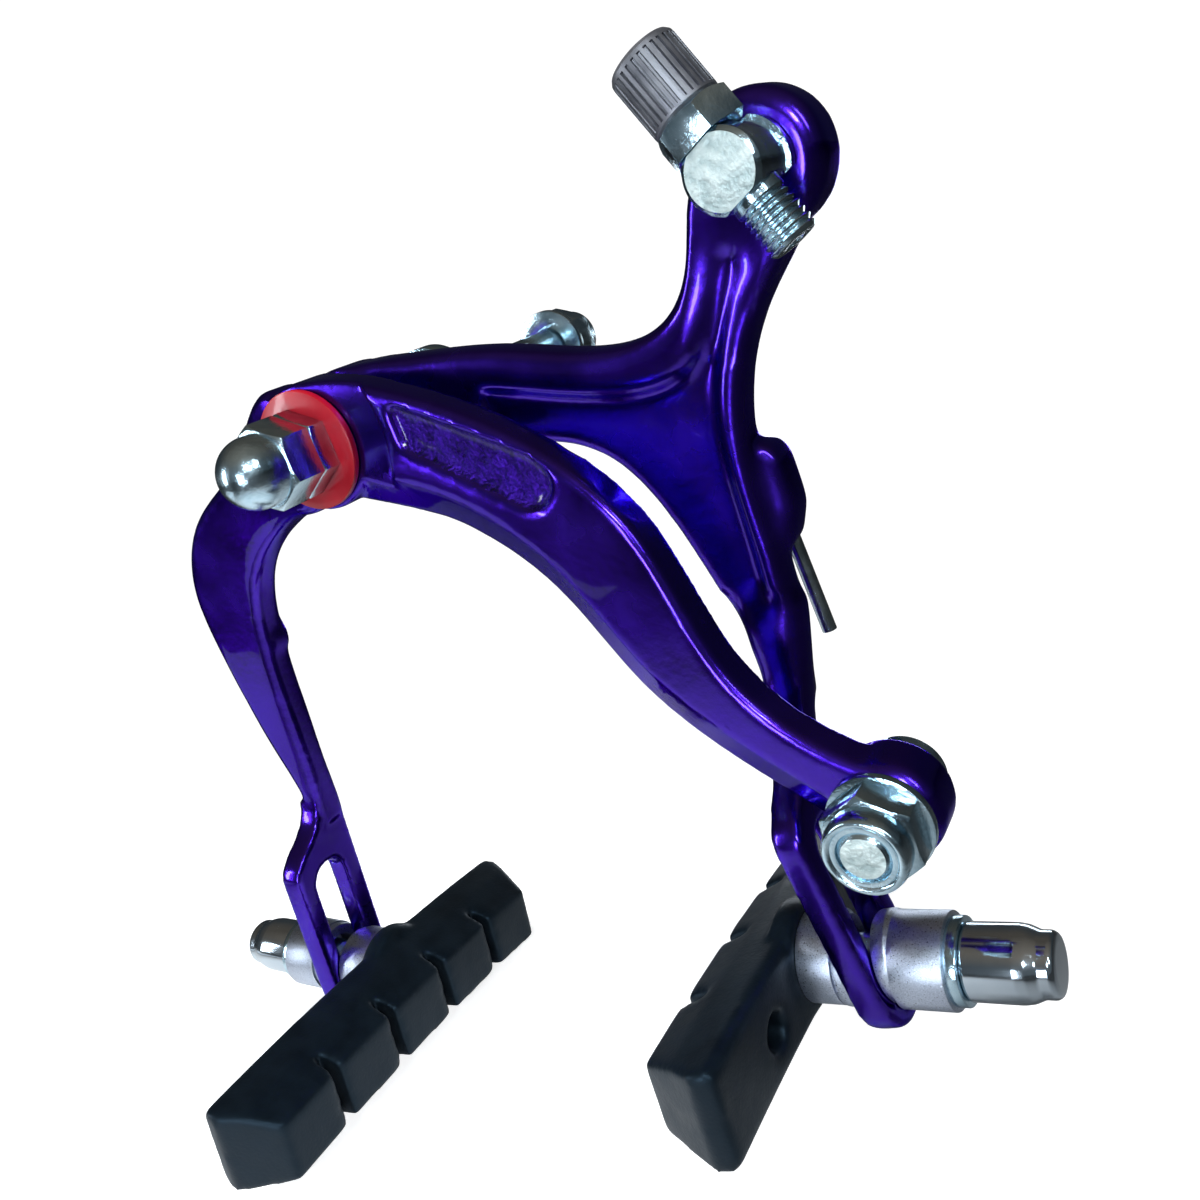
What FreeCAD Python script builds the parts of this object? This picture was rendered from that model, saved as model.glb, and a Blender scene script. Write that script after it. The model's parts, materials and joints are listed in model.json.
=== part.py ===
import FreeCAD, Part
import Sketcher
import math
import os

# Side-pull caliper brake, millimetres.
# X runs to the right seen from the front, Y along the pivot bolt towards the frame, Z up.
# The origin lies on the pivot axis, in the plane where the brake seats on the frame.

SIZES = {
    # pivot stack
    "face_y": -29.6, "play": 0.15, "run": 0.05, "thread_fit": 0.03,
    "stud_r": 3.0, "stud_front": 13.5, "stud_end": 42.6, "hole_ease": 0.25,
    "print_washer_r": 8.0, "print_washer_t": 1.0,
    "nut_af": 10.0, "lock_nut_t": 3.0, "nut_bevel": 0.7,
    "cap_hex_t": 5.0, "cap_dome_r": 4.7, "cap_dome_straight": 1.3,
    "boss_r": 8.6, "boss_t": 7.0,
    "mid_washer_r": 8.0, "mid_washer_t": 1.0,
    "back_washer_r": 7.5, "back_washer_t": 1.0,
    "seat_r": 7.4, "seat_t": 3.0,
    "block_w": 15.0, "block_top": 5.6, "block_low": 8.2,
    "mount_nut_y": 33.0, "mount_hex_t": 5.4, "mount_nut_t": 8.0, "mount_collar_r": 4.5,
    "mount_washer_r": 6.2, "mount_washer_t": 1.2,
    # front arm, bridge plate that leans forward to the anchor
    "bridge_lean": 5.6, "bridge_t": 5.0, "bridge_bevel": 5.4, "bridge_bevel_t": 3.4, "bridge_round": 1.2,
    "spot_r": 13.8, "panel_depth": 1.2,
    "anchor_x": 64.0, "anchor_z": -56.1, "anchor_boss_r": 6.4,
    "anchor_face": 6.3, "anchor_boss_t": 7.0,
    # slotted leg ends
    "plate_t": 4.4, "plate_half": 7.0, "plate_up": 20.0, "plate_low": 2.0, "neck_up": 31.0, "neck_in": 1.6,
    "slot_half": 3.4, "slot_up": 17.0, "slot_low": 3.4,
    "shoe_y": 4.6, "left_x": -46.8, "left_z": -86.1, "left_lean": 9.2,
    "right_x": 52.0, "right_z": -82.7, "right_lean": 8.0,
    # rear arm
    "rear_t": 6.0, "rear_set": 0.3, "web_depth": 2.2, "rib_round": 1.2, "limb_edge": 0.9,
    "eye_x": 65.9, "eye_z": 12.0, "eye_r": 7.5, "eye_t": 6.7, "rim_round": 2.2,
    "lug_y": 17.0,
    # cable adjuster
    "cable_y": 3.9, "adjuster_turn": -114.0,
    "swivel_r": 4.2, "swivel_front": 0.1, "swivel_flat": 3.4, "swivel_collar_r": 4.8, "swivel_collar_t": 1.2,
    "swivel_pin_r": 3.0, "swivel_tail": 17.6, "clip_t": 0.8, "clip_r": 4.8, "clip_groove": 0.5,
    "tail_washer_r": 5.6, "tail_washer_t": 0.8,
    "screw_r": 2.8, "screw_low": 9.4, "screw_pitch": 0.8, "screw_depth": 0.42,
    "barrel_r": 3.95, "barrel_low": 6.95, "barrel_top": 14.6, "barrel_round": 0.8, "flute_r": 0.32,
    "housing_r": 2.6, "housing_deep": 5.0, "cable_r": 1.1,
    "adj_nut_af": 8.0, "adj_nut_low": 3.5, "adj_nut_t": 3.3,
    # cable anchor
    "anchor_washer_r": 6.0, "anchor_washer_t": 1.0, "anchor_hex_t": 3.6, "anchor_nut_t": 5.9,
    "anchor_collar_r": 4.3, "anchor_end": 0.2,
    "anchor_head_r": 4.6, "anchor_head_t": 3.8, "anchor_hole_r": 0.95,
    # brake shoes
    "left_tilt": 8.0, "right_tilt": -1.0,
    "shoe_stud_r": 3.0, "dome_r": 7.0, "dome_washer_r": 5.7, "dome_bore": 3.9, "cup_r": 6.0, "cup_gap": 0.05,
    "inner_cup_end": 8.3, "collar_end": 10.4, "dish_t": 1.5, "dish_r": 5.4,
    "shoe_nut_r": 4.7, "shoe_nut_t": 10.8, "shoe_nut_tip": 3.5, "shoe_nut_taper": 3.4,
    "pad_t": 12.6, "pad_long": 70.6, "pad_off": 6.0, "pad_roll": 4.0, "pad_up": 5.6, "pad_down": 8.0,
    "pad_face_up": 2.2, "pad_face_down": 7.4, "pad_end": 4.4,
    "pad_sole": 6.4, "pad_shoulder": 4.6, "pad_bend_r": 420.0,
    "pad_groove": 1.4, "pad_groove_deep": 3.8, "pad_pitch": 13.0, "pad_hole_r": 1.65, "pad_hole_y": 13.0,
    "pad_grip": 6.0, "pad_hub_r": 7.2, "pad_hub_t": 0.5, "pad_end_back": 0.7,
    # return spring
    "wire_r": 0.95, "wire_bend": 14.0, "wire_y": 21.4, "wire_z": 4.6,
}

doc = FreeCAD.newDocument("side_pull_caliper")
sheet = doc.addObject("Spreadsheet::Sheet", "dims")
for row, (name, value) in enumerate(SIZES.items(), start=1):
    sheet.set("A%d" % row, name)
    sheet.set("B%d" % row, str(value))
    sheet.setAlias("B%d" % row, name)
doc.recompute()

V = FreeCAD.Vector


def terms(expr):
    """Split 'a + 0.5*b - c' into signed lists of factors."""
    sign = 1
    for word in expr.split():
        if word in ("+", "-"):
            sign = 1 if word == "+" else -1
        else:
            yield sign, word.split("*")
            sign = 1


def amount(expr):
    """Number that an expression stands for, used to draw the first guess of a sketch."""
    total = 0.0
    for sign, factors in terms(expr):
        value = float(sign)
        for factor in factors:
            value *= SIZES[factor] if factor in SIZES else float(factor)
        total += value
    return total


def bound(expr):
    """The same expression, reading its names from the sheet."""
    text = ""
    for sign, factors in terms(expr):
        named = ["dims." + f if f in SIZES else f for f in factors]
        text += (" + " if sign > 0 else " - ") + " * ".join(named)
    return "0" + text


def bind(obj, path, expr):
    """Let the sheet drive a size; an expression without a sheet name stays a plain number."""
    if any(factor in SIZES for sign, factors in terms(expr) for factor in factors):
        obj.setExpression(path, bound(expr))


def body(label):
    new = doc.addObject("PartDesign::Body", label)
    new.Label = label
    return new


def sketch(owner, plane, offset=("0", "0", "0"), lean=None):
    """Sketch on one of the body's own planes, moved and leaned by sheet values."""
    sk = owner.newObject("Sketcher::SketchObject", "outline")
    origin = [f for f in owner.Origin.OriginFeatures if f.Role == plane][0]
    sk.AttachmentSupport = [(origin, "")]
    sk.MapMode = "FlatFace"
    turn = FreeCAD.Rotation()
    if lean:
        turn = FreeCAD.Rotation(lean[0], amount(lean[1]))
    sk.AttachmentOffset = FreeCAD.Placement(V(*[amount(o) for o in offset]), turn)
    for axis, expr in zip("xyz", offset):
        bind(sk, "AttachmentOffset.Base." + axis, expr)
    if lean:
        bind(sk, "AttachmentOffset.Rotation.Angle", lean[1])
    return sk


def pin(sk, geo, pos, point):
    """Hold a point at its two coordinates."""
    for kind, axis, expr in (("DistanceX", -2, point[0]), ("DistanceY", -1, point[1])):
        value = amount(expr)
        if abs(value) < 1e-9:
            sk.addConstraint(Sketcher.Constraint("PointOnObject", geo, pos, axis))
        else:
            index = sk.addConstraint(Sketcher.Constraint(kind, -1, 1, geo, pos, value))
            bind(sk, "Constraints[%d]" % index, expr)


def at(point):
    return V(amount(point[0]), amount(point[1]), 0)


def ring(sk, points):
    """Closed outline of straight sides through pinned corners."""
    first = None
    for here, there in zip(points, points[1:] + points[:1]):
        geo = sk.addGeometry(Part.LineSegment(at(here), at(there)))
        pin(sk, geo, 1, here)
        if first is None:
            first = geo
        else:
            sk.addConstraint(Sketcher.Constraint("Coincident", geo - 1, 2, geo, 1))
    sk.addConstraint(Sketcher.Constraint("Coincident", geo, 2, first, 1))


def curve(sk, poles):
    """Free curve drawn by its control points."""
    spline = Part.BSplineCurve()
    spline.buildFromPoles([at(p) for p in poles], False, 3)
    geo = sk.addGeometry(spline)
    for index, pole in enumerate(poles):
        mark = sk.addGeometry(Part.Circle(at(pole), V(0, 0, 1), 0.6), True)
        role = "InternalAlignment:Sketcher::BSplineControlPoint"
        sk.addConstraint(Sketcher.Constraint(role, mark, 3, geo, index))
        sk.addConstraint(Sketcher.Constraint("Weight", mark, 1.0))
        pin(sk, mark, 3, pole)
    return geo


def loop(sk, sides):
    """Closed outline: each side is a list of points, two for a line and more for a curve."""
    drawn = []
    for side in sides:
        if len(side) == 2:
            drawn.append(sk.addGeometry(Part.LineSegment(at(side[0]), at(side[1]))))
        else:
            drawn.append(curve(sk, side))
    for index, side in enumerate(sides):
        before = sides[index - 1]
        if len(side) == 2 and len(before) == 2:
            pin(sk, drawn[index], 1, side[0])
        if len(side) == 2 or len(before) == 2:
            sk.addConstraint(Sketcher.Constraint("Coincident", drawn[index - 1], 2, drawn[index], 1))


def circle(sk, centre, radius):
    geo = sk.addGeometry(Part.Circle(at(centre), V(0, 0, 1), amount(radius)))
    pin(sk, geo, 3, centre)
    index = sk.addConstraint(Sketcher.Constraint("Radius", geo, amount(radius)))
    bind(sk, "Constraints[%d]" % index, radius)


def pad(owner, sk, length, back=False, cut=False):
    kind = "PartDesign::Pocket" if cut else "PartDesign::Pad"
    feature = owner.newObject(kind, "cut" if cut else "pad")
    feature.Profile = sk
    feature.Reversed = back
    if length == "through":
        feature.Type = "ThroughAll"
        feature.Midplane = True
    else:
        feature.Length = amount(length)
        bind(feature, "Length", length)
    sk.Visibility = False
    return feature


def turned(owner, points, axis, cut=False):
    """Revolve a closed profile of (radius, along) points about the body's own X or Y axis."""
    sk = sketch(owner, "XY_Plane")
    ring(sk, points if axis == "Y" else [(p[1], p[0]) for p in points])
    feature = owner.newObject("PartDesign::Groove" if cut else "PartDesign::Revolution", "turning")
    feature.Profile = sk
    feature.ReferenceAxis = (sk, ["V_Axis" if axis == "Y" else "H_Axis"])
    feature.Angle = 360
    sk.Visibility = False
    return feature


def tube(owner, inner, outer, low, high, axis, cut=False):
    return turned(owner, [(inner, low), (outer, low), (outer, high), (inner, high)], axis, cut)


def spun(owner, sides, axis, where=("0", "0", "0")):
    """Revolve a closed profile with curved sides, (radius, along) points, about an X or Y axis."""
    sk = sketch(owner, "XY_Plane", where)
    loop(sk, sides if axis == "Y" else [[(p[1], p[0]) for p in side] for side in sides])
    feature = owner.newObject("PartDesign::Revolution", "turning")
    feature.Profile = sk
    feature.ReferenceAxis = (sk, ["V_Axis" if axis == "Y" else "H_Axis"])
    feature.Angle = 360
    sk.Visibility = False
    return feature


def place(obj, x, y, z, turn=None):
    """Stand a body in the frame, turned about Y."""
    spin = FreeCAD.Rotation(V(0, 1, 0), amount(turn)) if turn else FreeCAD.Rotation()
    obj.Placement = FreeCAD.Placement(V(amount(x), amount(y), amount(z)), spin)
    for axis, expr in (("x", x), ("y", y), ("z", z)):
        bind(obj, "Placement.Base." + axis, expr)
    if turn:
        bind(obj, "Placement.Rotation.Angle", turn)


def washer(label, bore, outer, low, high, axis="Y"):
    new = body(label)
    tube(new, bore, outer, low, high, axis)
    return new


def flip(expr):
    """The expression with every sign turned round."""
    return "0" + "".join((" - " if sign > 0 else " + ") + "*".join(factors) for sign, factors in terms(expr))


def nut(label, flats, bore, low, thick, axis, away, collar=None):
    """Hexagon nut standing on 'low' along its axis; away is + or -; collar is (radius, full height)."""
    new = body(label)
    home = "-" if away == "+" else "+"
    top = "%s %s %s" % (low, away, thick)
    end = "%s %s %s" % (low, away, collar[1]) if collar else top
    plane, offset = ("XZ_Plane", flip(low)) if axis == "Y" else ("YZ_Plane", low)
    sk = sketch(new, plane, ("0", "0", offset))
    half, side, corner = "0.5*" + flats, "0.288675*" + flats, "0.57735*" + flats
    ring(sk, [("0", corner), (flip(half), side), (flip(half), flip(side)),
              ("0", flip(corner)), (half, flip(side)), (half, side)])
    pad(new, sk, thick, (axis == "Y") == (away == "+"))
    turned(new, [(half, top), (corner + " + 0.4", top), (corner + " + 0.4", "%s %s nut_bevel" % (top, home))],
           axis, cut=True)
    if collar:
        root = "%s %s 0.5" % (top, home)
        turned(new, [("0", root), (collar[0], root), (collar[0], "%s %s 0.6" % (end, home)),
                     (collar[0] + " - 0.6", end), ("0", end)], axis)
    if bore:
        tube(new, "0", bore, "%s %s 0.5" % (low, home), "%s %s 0.5" % (end, away), axis, cut=True)
    return new


def rounded(half, low, high):
    """Upright slot-shaped outline with round ends."""
    h, k = half, "0.552*" + half
    under, over = low + " - " + h, high + " + " + h
    return [[(h, low), (h, low + " - " + k), (k, under), ("0", under)],
            [("0", under), (flip(k), under), (flip(h), low + " - " + k), (flip(h), low)],
            [(flip(h), low), (flip(h), high)],
            [(flip(h), high), (flip(h), high + " + " + k), (flip(k), over), ("0", over)],
            [("0", over), (k, over), (h, high + " + " + k), (h, high)],
            [(h, high), (h, low)]]


def points(text):
    """Read 'x,z x,z' into a list of points."""
    return [tuple(pair.split(",")) for pair in text.split()]


def limb(owner, stations):
    """Cast limb drawn through bevelled cross-sections: x, z, turn, half width, front, back."""
    profiles = []
    for x, z, turn, half, low, high in stations:
        sk = sketch(owner, "XY_Plane", (x, "face_y", z), (V(0, 1, 0), turn))
        ring(sk, [(flip(half), low + " + limb_edge"), (flip(half) + " + limb_edge", low),
                  (half + " - limb_edge", low), (half, low + " + limb_edge"),
                  (half, high + " - limb_edge"), (half + " - limb_edge", high),
                  (flip(half) + " + limb_edge", high), (flip(half), high + " - limb_edge")])
        sk.Visibility = False
        profiles.append(sk)
    feature = owner.newObject("PartDesign::AdditiveLoft", "limb")
    feature.Profile = profiles[0]
    feature.Sections = profiles[1:]
    feature.Ruled = False
    return feature


def leg_end(owner, x, z, lean):
    """Flat leg end with its neck, and the long slot that the brake shoe moves in."""
    where = ("face_y + shoe_y", z, x)
    face = sketch(owner, "YZ_Plane", where, (V(1, 0, 0), lean))
    h, k, low = "plate_half", "0.552*plate_half", "0 - plate_low"
    tip = "0 - plate_low - plate_half"
    loop(face, [[(h, low), (h, low + " - " + k), (k, tip), ("0", tip)],
                [("0", tip), (flip(k), tip), (flip(h), low + " - " + k), (flip(h), low)],
                [(flip(h), low), (flip(h), "plate_up")],
                [(flip(h), "plate_up"), (flip(h), "plate_up + 5"),
                 ("neck_in", "neck_up - 6"), ("neck_in", "neck_up")],
                [("neck_in", "neck_up"), (h, "neck_up")],
                [(h, "neck_up"), (h, low)]])
    plate = pad(owner, face, "plate_t")
    plate.Midplane = True
    slot = sketch(owner, "YZ_Plane", where, (V(1, 0, 0), lean))
    loop(slot, rounded("slot_half", "0 - slot_low", "slot_up"))
    hole = pad(owner, slot, "3*plate_t", cut=True)
    hole.Midplane = True


def upright(owner, outline, front, thick, lean=None, cut=False):
    """Pad or cut an outline drawn in the front view, from its front plane towards the frame."""
    sk = sketch(owner, "XZ_Plane", ("0", "0", flip(front)), lean)
    if isinstance(outline, tuple):
        circle(sk, (outline[0], outline[1]), outline[2])
    elif isinstance(outline[0], tuple):
        ring(sk, outline)
    else:
        loop(sk, outline)
    return pad(owner, sk, thick, back=not cut, cut=cut)


def long_edge(feature, upper):
    """Name of the long front edge of the bridge plate, upper or lower."""
    for index, edge in enumerate(feature.Shape.Edges, start=1):
        middle = edge.valueAt(0.5 * (edge.FirstParameter + edge.LastParameter))
        depth = middle.y - amount("face_y") + 0.098 * middle.x
        if edge.Length > 50 and depth < 0.5 and (middle.z > middle.x * -1.0 + 16.0) == upper:
            return "Edge%d" % index
    raise RuntimeError("bridge edge not found")


def rib_edges(feature):
    """Names of the front edges of the fork's ribs, outside edges and web edges."""
    names = []
    front_y = amount("face_y + boss_t + 2*play + mid_washer_t + rear_set")
    for index, edge in enumerate(feature.Shape.Edges, start=1):
        spots = [edge.valueAt(edge.FirstParameter + part * (edge.LastParameter - edge.FirstParameter))
                 for part in (0.0, 0.5, 1.0)]
        flat = all(abs(spot.y - front_y) < 0.01 for spot in spots)
        if flat and edge.Length > 25 and edge.Curve.TypeId == "Part::GeomBSplineCurve":
            names.append("Edge%d" % index)
    return names


def rim(owner, x, z, radius, front, thick):
    """Round boss along Y with a full front rim and a small break at the back."""
    edge = front + " + rim_round"
    back = front + " + " + thick
    spun(owner, [[("0", front), (radius + " - rim_round", front)],
                 [(radius + " - rim_round", front), (radius + " - 0.448*rim_round", front),
                  (radius, front + " + 0.448*rim_round"), (radius, edge)],
                 [(radius, edge), (radius, back + " - 0.5")],
                 [(radius, back + " - 0.5"), (radius + " - 0.5", back)],
                 [(radius + " - 0.5", back), ("0", back)], [("0", back), ("0", front)]], "Y", (x, "0", z))


def soften(owner, base, edges, radius):
    """Round the named edges of a feature."""
    feature = owner.newObject("PartDesign::Fillet", "rounding")
    feature.Base = (base, edges)
    feature.Radius = amount(radius)
    bind(feature, "Radius", radius)
    return feature


def domed(label, ball, bore, outer, flat, away):
    """Ring between a flat end and a ball face centred on the body's origin, along X."""
    new = body(label)
    sk = sketch(new, "XY_Plane")
    r, low, high, end = amount(ball), amount(bore), amount(outer), amount(flat)
    side = 1 if away == "+" else -1
    inside = V(side * (r * r - low * low) ** 0.5, low, 0)
    outside = V(side * (r * r - high * high) ** 0.5, high, 0)
    ends = sorted(math.atan2(spot.y, spot.x) for spot in (inside, outside))
    flat_edge = sk.addGeometry(Part.LineSegment(V(end, low, 0), V(end, high, 0)))
    rim = sk.addGeometry(Part.LineSegment(V(end, high, 0), outside))
    ball_edge = sk.addGeometry(Part.ArcOfCircle(Part.Circle(V(0, 0, 0), V(0, 0, 1), r), ends[0], ends[1]))
    mouth = sk.addGeometry(Part.LineSegment(inside, V(end, low, 0)))
    pin(sk, flat_edge, 1, (flat, bore))
    pin(sk, flat_edge, 2, (flat, outer))
    first, last = (2, 1) if side > 0 else (1, 2)
    for link in ((flat_edge, 2, rim, 1), (rim, 2, ball_edge, first),
                 (ball_edge, last, mouth, 1), (mouth, 2, flat_edge, 1)):
        sk.addConstraint(Sketcher.Constraint("Coincident", *link))
    sk.addConstraint(Sketcher.Constraint("Horizontal", rim))
    sk.addConstraint(Sketcher.Constraint("Horizontal", mouth))
    sk.addConstraint(Sketcher.Constraint("Coincident", ball_edge, 3, -1, 1))
    index = sk.addConstraint(Sketcher.Constraint("Radius", ball_edge, r))
    bind(sk, "Constraints[%d]" % index, ball)
    feature = new.newObject("PartDesign::Revolution", "turning")
    feature.Profile = sk
    feature.ReferenceAxis = (sk, ["H_Axis"])
    feature.Angle = 360
    sk.Visibility = False
    return new


# Pivot bolt and the hardware in front of the arms
front_end = "face_y - stud_front"
bolt = body("pivot_bolt")
turned(bolt, [("0", front_end), ("stud_r - 0.6", front_end), ("stud_r", front_end + " + 0.6"),
              ("stud_r", "stud_end - 0.8"), ("stud_r - 0.8", "stud_end"), ("0", "stud_end")], "Y")
lock_back = "face_y - play - print_washer_t"
washer("printed_washer", "stud_r + hole_ease", "print_washer_r", lock_back, "face_y - play")
nut("pivot_lock_nut", "nut_af", "stud_r + thread_fit", lock_back, "lock_nut_t", "Y", "-")
cap_back = lock_back + " - lock_nut_t"
cap = nut("pivot_cap_nut", "nut_af", None, cap_back, "cap_hex_t", "Y", "-")
cap_face = cap_back + " - cap_hex_t"
dome_low = cap_face + " - cap_dome_straight"
spun(cap, [[("0", cap_face + " + 1"), ("cap_dome_r", cap_face + " + 1")],
           [("cap_dome_r", cap_face + " + 1"), ("cap_dome_r", dome_low)],
           [("cap_dome_r", dome_low), ("cap_dome_r", dome_low + " - 0.552*cap_dome_r"),
            ("0.552*cap_dome_r", dome_low + " - cap_dome_r"), ("0", dome_low + " - cap_dome_r")],
           [("0", dome_low + " - cap_dome_r"), ("0", cap_face + " + 1")]], "Y")
tube(cap, "0", "stud_r + thread_fit", front_end + " - 0.2", cap_back + " + 0.5", "Y", cut=True)

# Front arm: leaning bridge plate with its long bevel, bosses, shoulder and left leg
front = body("front_arm")
lean = (V(0, 1, 0), "0 - bridge_lean")
bridge = upright(front, [points("1,8.4 6.9,8 18.3,3.4 33.5,-5.1 47.3,-18.3 48.3,-38.5 57.6,-47.2 64,-50"),
                         points("64,-50 60,-62"),
                         points("60,-62 56.8,-58.2 48.1,-52.2 35.3,-40.1 "
                                "30.4,-25.1 17.3,-13.6 7.7,-10.8 2,-8.8"),
                         points("2,-8.8 1,8.4")], "face_y", "bridge_t", lean)
doc.recompute()
bevel = front.newObject("PartDesign::Chamfer", "bevel")
bevel.Base = (bridge, [long_edge(bridge, False)])
bevel.ChamferType = "Two distances"
bevel.Size = amount("bridge_bevel_t")
bevel.Size2 = amount("bridge_bevel")
bind(bevel, "Size", "bridge_bevel_t")
bind(bevel, "Size2", "bridge_bevel")
doc.recompute()
soften(front, bevel, [long_edge(bevel, True)], "bridge_round")
upright(front, [points("18.2,1.2 33.6,-7.6"), points("33.6,-7.6 36.6,-9.3 38,-12 35.6,-13.8"),
                points("35.6,-13.8 34.4,-14.8 32.9,-15.1 31.2,-14"), points("31.2,-14 19,-5.6"),
                points("19,-5.6 16.8,-4.2 16.1,-4 16.1,-2"), points("16.1,-2 16.1,0.4"),
                points("16.1,0.4 16.1,2 16.6,2.1 18.2,1.2")], "face_y", "panel_depth", lean, cut=True)
spot = sketch(front, "XZ_Plane", ("0", "0", flip("face_y")))
circle(spot, ("0", "0"), "spot_r")
pad(front, spot, "boss_t", back=True, cut=True)
upright(front, ("0", "0", "boss_r"), "face_y", "boss_t")
rim(front, "anchor_x", "anchor_z", "anchor_boss_r", "face_y - anchor_face", "anchor_boss_t")
limb(front, [("-3", "0", "90", "8", "0.4", "6.9"), ("-11", "-1.4", "78", "7.2", "1.2", "7.6"),
             ("-20", "-4.9", "55", "6", "3.6", "9.2"), ("-30.9", "-9.5", "34", "7.2", "5.2", "10.4"),
             ("-37.7", "-16.9", "18", "7.3", "5.8", "11.2"), ("-40.2", "-27", "9.2", "6", "6", "11.4"),
             ("-41", "-36", "9.2", "4.9", "6.2", "11.6"), ("-41.3", "-44.5", "9.2", "3.9", "6.4", "11.6"),
             ("-41.1", "-52", "9.2", "2.6", "6.4", "11.6"), ("-42.3", "-60", "9.2", "2.4", "6.4", "11.6")])
leg_end(front, "left_x", "left_z", "left_lean")
upright(front, points("-37,-23.4 -34,-24.2 -33.5,-26.4 -34.1,-28.6 -37,-29.6"), "face_y + 8", "3.8")
upright(front, points("-45,-20.5 -43.2,-20.5 -43.2,-27.5 -45,-27.5"), "face_y + 9", "5.4")
tube(front, "0", "stud_r + run", "face_y - 3", "face_y + boss_t + 4", "Y", cut=True)
anchor_bore = sketch(front, "XZ_Plane")
circle(anchor_bore, ("anchor_x", "anchor_z"), "stud_r + run")
pad(front, anchor_bore, "through", cut=True)

# Rear arm: forked plate with raised ribs, pivot boss, adjuster eye and right leg
rear_face = "face_y + boss_t + 2*play + mid_washer_t"
rear = body("rear_arm")
fork = upright(rear, [points("0.5,8.4 5,8.1 14.7,6.5 27.6,4 42.4,-2.2 54.8,0.4 57.3,13.4 61.2,15.8"),
                      points("61.2,15.8 70.6,9"),
                      points("70.6,9 68.3,4 59.1,-2.3 53.3,-18 55.3,-34.1 52.2,-44.8 51.8,-50"),
                      points("51.8,-50 47.2,-50"),
                      points("47.2,-50 46.8,-42.9 44,-33.4 38.5,-10.9 19.5,-7.8 6.8,-8.6 0.5,-8.4"),
                      points("0.5,-8.4 0.5,8.4")], rear_face + " + rear_set", "rear_t")
web = upright(rear, [points("22,-0.5 27.3,-2.1 34.6,-5.1 52.3,-9.4 57,0.8 59.1,5.2"),
                     points("59.1,5.2 61.3,5"),
                     points("61.3,5 58.9,0.5 51.7,-8.6 51.7,-24.4 51.4,-34.8 50.6,-40"),
                     points("50.6,-40 40,-40"), points("40,-40 20,-14"), points("20,-14 22,-0.5")],
              rear_face + " + rear_set", "web_depth", cut=True)
doc.recompute()
soften(rear, web, rib_edges(web), "rib_round")
upright(rear, ("0", "0", "boss_r"), rear_face, "boss_t")
rim(rear, "eye_x", "eye_z", "eye_r", rear_face, "eye_t")
limb(rear, [("50.9", "-36", "-4", "4.2", "8.8", "14.4"), ("50.2", "-44", "-5", "3.3", "7.8", "13.4"),
            ("49.4", "-51", "-8", "2.7", "6.8", "12.2"), ("48.6", "-58", "-8", "2.4", "6.4", "11.6")])
leg_end(rear, "right_x", "right_z", "0 - right_lean")
upright(rear, points("53,-16.4 56.3,-16.8 57.4,-18.4 57.6,-25 55.4,-29.8 53,-29.8"),
        "face_y + 11", "lug_y - 11")
tube(rear, "0", "stud_r + run", rear_face + " - 3", rear_face + " + boss_t + 3", "Y", cut=True)
eye_bore = sketch(rear, "XZ_Plane")
circle(eye_bore, ("eye_x", "eye_z"), "swivel_pin_r + run")
pad(rear, eye_bore, "through", cut=True)

# Washers, spring block and the nut behind the frame
mid_front = "face_y + boss_t + play"
washer("middle_washer", "stud_r + hole_ease", "mid_washer_r", mid_front, mid_front + " + mid_washer_t")
back_front = rear_face + " + boss_t + play"
washer("back_washer", "stud_r + hole_ease", "back_washer_r", back_front, back_front + " + back_washer_t")
block_front = back_front + " + back_washer_t"
block = body("spring_block")
side = "0.5*block_w"
low = "0 - block_low"
upright(block, [(flip(side), low + " + 2"), (flip(side) + " + 2", low),
                (side + " - 2", low), (side, low + " + 2"),
                (side, "block_top - 1"), (side + " - 1", "block_top"), (flip(side) + " + 1", "block_top"),
                (flip(side), "block_top - 1")],
        block_front, "0 - seat_t - face_y - 2*boss_t - 3*play - mid_washer_t - back_washer_t")
channel = sketch(block, "YZ_Plane")
wire_mid = "face_y + wire_y"
near, far = wire_mid + " - wire_r - play", wire_mid + " + wire_r + play"
floor = "wire_z - wire_r - play"
ring(channel, [(near, floor), (far, floor), (far, "block_top + 2"), (near, "block_top + 2")])
pad(block, channel, "through", cut=True)
tube(block, "0", "stud_r + hole_ease", block_front + " - 1", "1", "Y", cut=True)
washer("seat_washer", "stud_r + hole_ease", "seat_r", "0 - seat_t", "0")
washer("mount_washer", "stud_r + hole_ease", "mount_washer_r", "mount_nut_y - mount_washer_t", "mount_nut_y")
nut("mount_nut", "nut_af", "stud_r + thread_fit", "mount_nut_y", "mount_hex_t", "Y", "+",
    ("mount_collar_r", "mount_nut_t"))

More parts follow.
